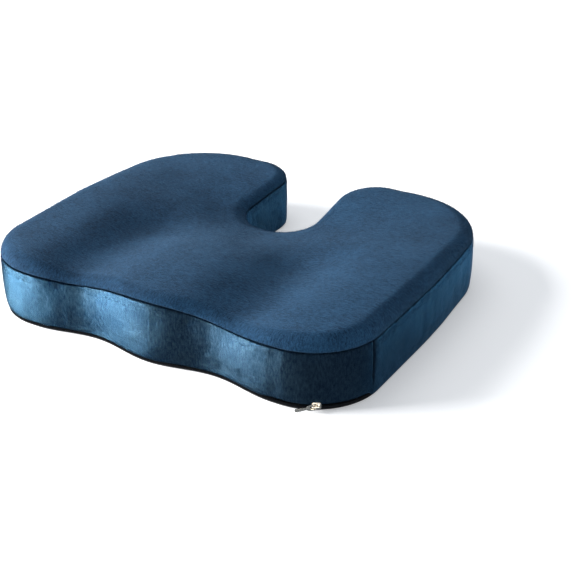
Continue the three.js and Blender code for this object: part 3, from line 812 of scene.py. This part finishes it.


# short pile: fine grain, brushed streaks, broad patches where the pile lies another way, and painted shade
# in the seam grooves and down the bands' corner seams
def velour(name, look):
    made, tree, shader, place = newMaterial(
        name, Roughness=look["roughness"], Specular_IOR_Level=look["specular"],
        Metallic=look["satin"], Specular_Tint=look["specularTint"], Sheen_Weight=look["sheen"],
        Sheen_Roughness=look["sheenRoughness"], Sheen_Tint=look["sheenTint"])
    grain = grainOf(tree, place, look["grain"], rough=pile["grainRough"])
    brushed = grainOf(tree, place, 1.0, look["streak"])
    patch = grainOf(tree, place, pile["patch"])
    broad = grainOf(tree, place, pile["broad"], detail=1.0)
    down = node(tree, "Attribute", {}, attribute_name="down").outputs["Fac"]
    station = node(tree, "Attribute", {}, attribute_name="station").outputs["Fac"]
    alongSeam = node(tree, "CombineXYZ", {"X": station, "Y": down}).outputs[0]
    combed = grainOf(tree, alongSeam, 1.0, look["comb"])
    fallsOver = stretched(tree, down, pile["combFrom"], pile["combTo"])
    streak = node(tree, "Mix", {0: fallsOver, 2: brushed, 3: combed}, data_type="FLOAT").outputs[0]
    lay = plus(tree, grain, pile["grainShare"], maths(tree, "MULTIPLY", streak, pile["streakShare"]))
    lay = plus(tree, patch, pile["patchShare"], lay)
    lay = plus(tree, broad, pile["broadShare"], lay)
    paleness = stretched(tree, lay, pile["paleFrom"], pile["paleTo"])
    colour = blended(tree, paleness, look["deep"], look["pale"])
    fromSeam = maths(tree, "ABSOLUTE", down)
    pastCorner = maths(tree, "SUBTRACT", maths(tree, "ABSOLUTE", station), cornerAt)
    fromCorner = maths(tree, "ABSOLUTE", pastCorner)
    # painted shade: the colour darkens towards the seam grooves and the bands' corner seams, where shade
    # falls
    seamShadeMask = stretched(tree, fromSeam, pile["seamEdge"], pile["seamReach"], (pile["seamShadeShare"], 0.0))
    cornerShadeMask = stretched(
        tree, fromCorner, pile["seamEdge"], pile["cornerReach"], (look["cornerShadeShare"], 0.0))
    shade = blended(tree, maths(tree, "MAXIMUM", seamShadeMask, cornerShadeMask), colour, pile["seamShade"])
    tree.links.new(shade, shader.inputs["Base Color"])
    low = bumped(tree, streak, look["streakDepth"], pile["streakLift"])
    high = bumped(tree, grain, look["grainDepth"], pile["grainLift"], low)
    tree.links.new(high, shader.inputs["Normal"])
    return made


tapeWeave = dict(
    dark=(0.003, 0.0035, 0.005, 1), pale=(0.012, 0.013, 0.017, 1), pitch=0.0007, depth=0.00012,
    roughness=0.85, specular=0.1, sheen=0.05, sheenRoughness=0.5,
)
baseWeave = dict(
    dark=(0.004, 0.0045, 0.0055, 1), pale=(0.015, 0.016, 0.019, 1), pitch=0.0011, depth=0.00018,
    roughness=0.88, specular=0.1, sheen=0.03, sheenRoughness=0.5,
)
weaving = dict(
    upright=0.5, weaveShare=0.25, yarn=2400, yarnShare=0.4, patch=40, patchShare=0.4,
    paleFrom=0.15, paleTo=0.75, weaveLift=0.7, yarnLift=0.4,
)


# plain weave: two crossed waves, a third up the walls, with yarn noise
def woven(name, look):
    made, tree, shader, place = newMaterial(
        name, Roughness=look["roughness"], Specular_IOR_Level=look["specular"],
        Sheen_Weight=look["sheen"], Sheen_Roughness=look["sheenRoughness"])
    sep = node(tree, "SeparateXYZ", {"Vector": place})
    waves = []
    for axis in ("X", "Y", "Z"):
        phase = maths(tree, "MULTIPLY", sep.outputs[axis], 2 * math.pi / look["pitch"])
        waves.append(maths(tree, "SINE", phase))
    weave = plus(tree, waves[2], weaving["upright"], maths(tree, "MULTIPLY", waves[0], waves[1]))
    yarn = grainOf(tree, place, weaving["yarn"], detail=2.0)
    patch = grainOf(tree, place, weaving["patch"])
    share = plus(tree, yarn, weaving["yarnShare"], maths(tree, "MULTIPLY", patch, weaving["patchShare"]))
    share = plus(tree, weave, weaving["weaveShare"], share)
    paleness = stretched(tree, share, weaving["paleFrom"], weaving["paleTo"])
    tree.links.new(blended(tree, paleness, look["dark"], look["pale"]), shader.inputs["Base Color"])
    low = bumped(tree, weave, look["depth"], weaving["weaveLift"])
    high = bumped(tree, yarn, look["depth"] / 2, weaving["yarnLift"], low)
    tree.links.new(high, shader.inputs["Normal"])
    return made


openCells = dict(
    dark=(0.74, 0.68, 0.55, 1), pale=(0.90, 0.86, 0.76, 1), roughness=0.95, specular=0.25,
    cell=900, cellShare=0.5, cellDepth=0.0003, cellLift=0.8, large=260, largeDepth=0.0006, largeLift=0.6,
    patch=30, patchShare=0.8, paleFrom=0.3, paleTo=0.8,
)


def foamLook(name, look):
    made, tree, shader, place = newMaterial(
        name, Roughness=look["roughness"], Specular_IOR_Level=look["specular"])
    cells = cellsOf(tree, place, look["cell"])
    large = cellsOf(tree, place, look["large"])
    patch = grainOf(tree, place, look["patch"], detail=4.0)
    share = plus(tree, cells, look["cellShare"], maths(tree, "MULTIPLY", patch, look["patchShare"]))
    paleness = stretched(tree, share, look["paleFrom"], look["paleTo"])
    tree.links.new(blended(tree, paleness, look["dark"], look["pale"]), shader.inputs["Base Color"])
    low = bumped(tree, large, look["largeDepth"], look["largeLift"])
    high = bumped(tree, cells, look["cellDepth"], look["cellLift"], low)
    tree.links.new(high, shader.inputs["Normal"])
    return made


champagne = dict(
    bright=(0.80, 0.74, 0.63, 1), dull=(0.66, 0.61, 0.53, 1), dullFrom=0.35, dullTo=0.7,
    rough=(0.16, 0.36), roughFrom=0.45, roughTo=0.95, lift=0.5,
    patch=500, patchDepth=0.00008,
    fine=5200, fineStretch=(1, 1, 0.4), fineShare=0.4, fineDepth=0.00003,
)


# cast and plated: faint tumbling marks, duller in patches
def platedLook(name, look):
    made, tree, shader, place = newMaterial(name, Metallic=1.0)
    patch = grainOf(tree, place, look["patch"], detail=4.0)
    fine = grainOf(tree, place, look["fine"], look["fineStretch"])
    wear = plus(tree, fine, look["fineShare"], patch)
    rough = stretched(tree, wear, look["roughFrom"], look["roughTo"], look["rough"])
    tree.links.new(rough, shader.inputs["Roughness"])
    dullness = stretched(tree, patch, look["dullFrom"], look["dullTo"])
    tree.links.new(blended(tree, dullness, look["bright"], look["dull"]), shader.inputs["Base Color"])
    low = bumped(tree, patch, look["patchDepth"], look["lift"])
    tree.links.new(bumped(tree, fine, look["fineDepth"], look["lift"], low), shader.inputs["Normal"])
    return made


coilNylon = dict(
    dark=(0.003, 0.004, 0.006, 1), pale=(0.009, 0.011, 0.016, 1), rough=(0.42, 0.6), specular=0.22,
    patch=60, fine=3000, fineDetail=2.0, depth=0.00004, low=0.3, high=0.7, lift=0.5,
)
gripRubber = dict(
    dark=(0.018, 0.019, 0.022, 1), pale=(0.040, 0.042, 0.047, 1), rough=(0.45, 0.65), specular=0.4,
    patch=1800, fine=1800, fineDetail=3.0, depth=0.00006, low=0.3, high=0.7, lift=0.5,
)


def mouldedLook(name, look):
    made, tree, shader, place = newMaterial(name, Specular_IOR_Level=look["specular"])
    fine = grainOf(tree, place, look["fine"], detail=look["fineDetail"])
    patch = grainOf(tree, place, look["patch"])
    paleness = stretched(tree, patch, look["low"], look["high"])
    tree.links.new(blended(tree, paleness, look["dark"], look["pale"]), shader.inputs["Base Color"])
    rough = stretched(tree, fine, look["low"], look["high"], look["rough"])
    tree.links.new(rough, shader.inputs["Roughness"])
    tree.links.new(bumped(tree, fine, look["depth"], look["lift"]), shader.inputs["Normal"])
    return made


def dress(material, *pieces):
    for obj in pieces:
        obj.data.materials.clear()
        obj.data.materials.append(material)


tapeNodes = ("zipper_tape_upper", "zipper_tape_lower", "zipper_end_tack_right", "zipper_end_tack_left")
# the fibres carry no 'down' of their own, so all of them take the seams' painted shade at the top panel's
# share
dress(velour("navyVelourTop", velourTop), coverTop, fibres)
dress(velour("navyVelourBand", velourBand), coverFront, coverSide)
dress(woven("zipTapeWeave", tapeWeave), *(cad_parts[tape] for tape in tapeNodes))
dress(woven("baseClothWeave", baseWeave), baseCloth)
dress(foamLook("openCellFoam", openCells), foamCore)
dress(mouldedLook("gripRubber", gripRubber), dots)
dress(mouldedLook("coilNylon", coilNylon), coilUpper, coilLower)
dress(platedLook("champagnePlate", champagne), slider, pullTab)
print("materials done")

studio = dict(
    azimuth=29.742, elevation=28.338,   # degrees
    distance=1.1674, target=(0.0755, -0.0359, 0.030), lens=69.12, sensor=36,
    world=(0.78, 0.89, 1.04, 1), worldStrength=0.26, lampAim=(0, 0, 0.03),
    floorSize=6.0, floorZ=-0.0004, floorColour=(0.92, 0.925, 0.93, 1),
    floorRoughness=0.7, floorSpecular=0.2, floorGlow=0.36,
)

floorBm = bmesh.new()
bmesh.ops.create_grid(floorBm, x_segments=1, y_segments=1, size=studio["floorSize"])
bmesh.ops.translate(floorBm, verts=floorBm.verts, vec=(0, 0, studio["floorZ"]))
floor = fromBmesh("floor", floorBm)
floor.visible_glossy = False   # the satin takes its gleam from its own softboxes
floorLook = newMaterial(
    "paleFloor", Roughness=studio["floorRoughness"], Specular_IOR_Level=studio["floorSpecular"],
    Base_Color=studio["floorColour"], Emission_Color=(1, 1, 1, 1), Emission_Strength=studio["floorGlow"])[0]
dress(floorLook, floor)


# pieces that a softbox lights, or that can stand in its way
def lightGroup(name, pieces):
    group = bpy.data.collections.new(name)
    for obj in pieces:
        group.objects.link(obj)
    return group


def softbox(name, place, size, power, tint=(1, 1, 1), lights=None, blockedBy=None):
    lamp = bpy.data.lights.new(name, "AREA")
    lamp.shape = "RECTANGLE"
    lamp.size, lamp.size_y = size
    lamp.energy = power
    lamp.color = tint
    obj = newObject(name, lamp)
    obj.location = place
    obj.rotation_euler = (Vector(studio["lampAim"]) - Vector(place)).to_track_quat("-Z", "Y").to_euler()
    obj.visible_camera = False
    if lights:
        obj.light_linking.receiver_collection = lights
    if blockedBy:
        obj.light_linking.blocker_collection = blockedBy


cushionMeshes = [obj for obj in bpy.context.scene.objects if obj.type == "MESH" and obj != floor]
cushion = lightGroup("cushionOnly", cushionMeshes)
bands = lightGroup("bandsOnly", (coverFront, coverSide))
topAndSole = lightGroup("topOnly", (coverTop, fibres, foamCore, baseCloth, dots))
metal = lightGroup("metalOnly", (slider, pullTab))
ground = lightGroup("floorOnly", (floor,))

softbox("windowLeft", (-1.95, -1.0, 0.42), (0.9, 0.4), 250, lights=topAndSole)
# these two shine up through the floor, as the bright table's own gleam on the satin
softbox("gleam", (-1.98, -1.18, -0.62), (0.38, 0.6), 196, (1.0, 0.89, 0.77), lights=bands, blockedBy=cushion)
softbox("gleamRight", (1.15, 2.0, -0.5), (1.0, 0.7), 10, lights=bands, blockedBy=cushion)
# these light the top, the metal, the floor and, from overhead, all of it
softbox("softLeft", (-1.6, 0.5, 0.8), (0.8, 0.8), 12, lights=topAndSole)
softbox("fillRight", (1.6, 0.1, 0.8), (0.8, 0.8), 7, lights=topAndSole)
softbox("fillFront", (0.7, -1.5, 1.2), (0.8, 0.8), 26, lights=topAndSole)
softbox("metalCard", (0.75, -1.0, 0.45), (1.3, 0.9), 22, lights=metal)
softbox("floorWindow", (-2.9, -1.5, 1.5), (1.9, 1.9), 335, lights=ground)
softbox("overhead", (-0.35, 0.35, 1.7), (1.6, 1.6), 10)

world = bpy.data.worlds.new("studio")
bpy.context.scene.world = world
world.use_nodes = True
world.node_tree.nodes["Background"].inputs["Color"].default_value = studio["world"]
world.node_tree.nodes["Background"].inputs["Strength"].default_value = studio["worldStrength"]

az, el = math.radians(studio["azimuth"]), math.radians(studio["elevation"])
outward = Vector((math.sin(az) * math.cos(el), -math.cos(az) * math.cos(el), math.sin(el)))
cameraData = bpy.data.cameras.new("camera")
cameraData.lens = studio["lens"]
cameraData.sensor_width = studio["sensor"]
camera = newObject("camera", cameraData)
camera.location = Vector(studio["target"]) + outward * studio["distance"]
camera.rotation_euler = (-outward).to_track_quat("-Z", "Y").to_euler()
bpy.context.scene.camera = camera
bpy.context.scene.view_settings.view_transform = "Standard"
print("studio ready")
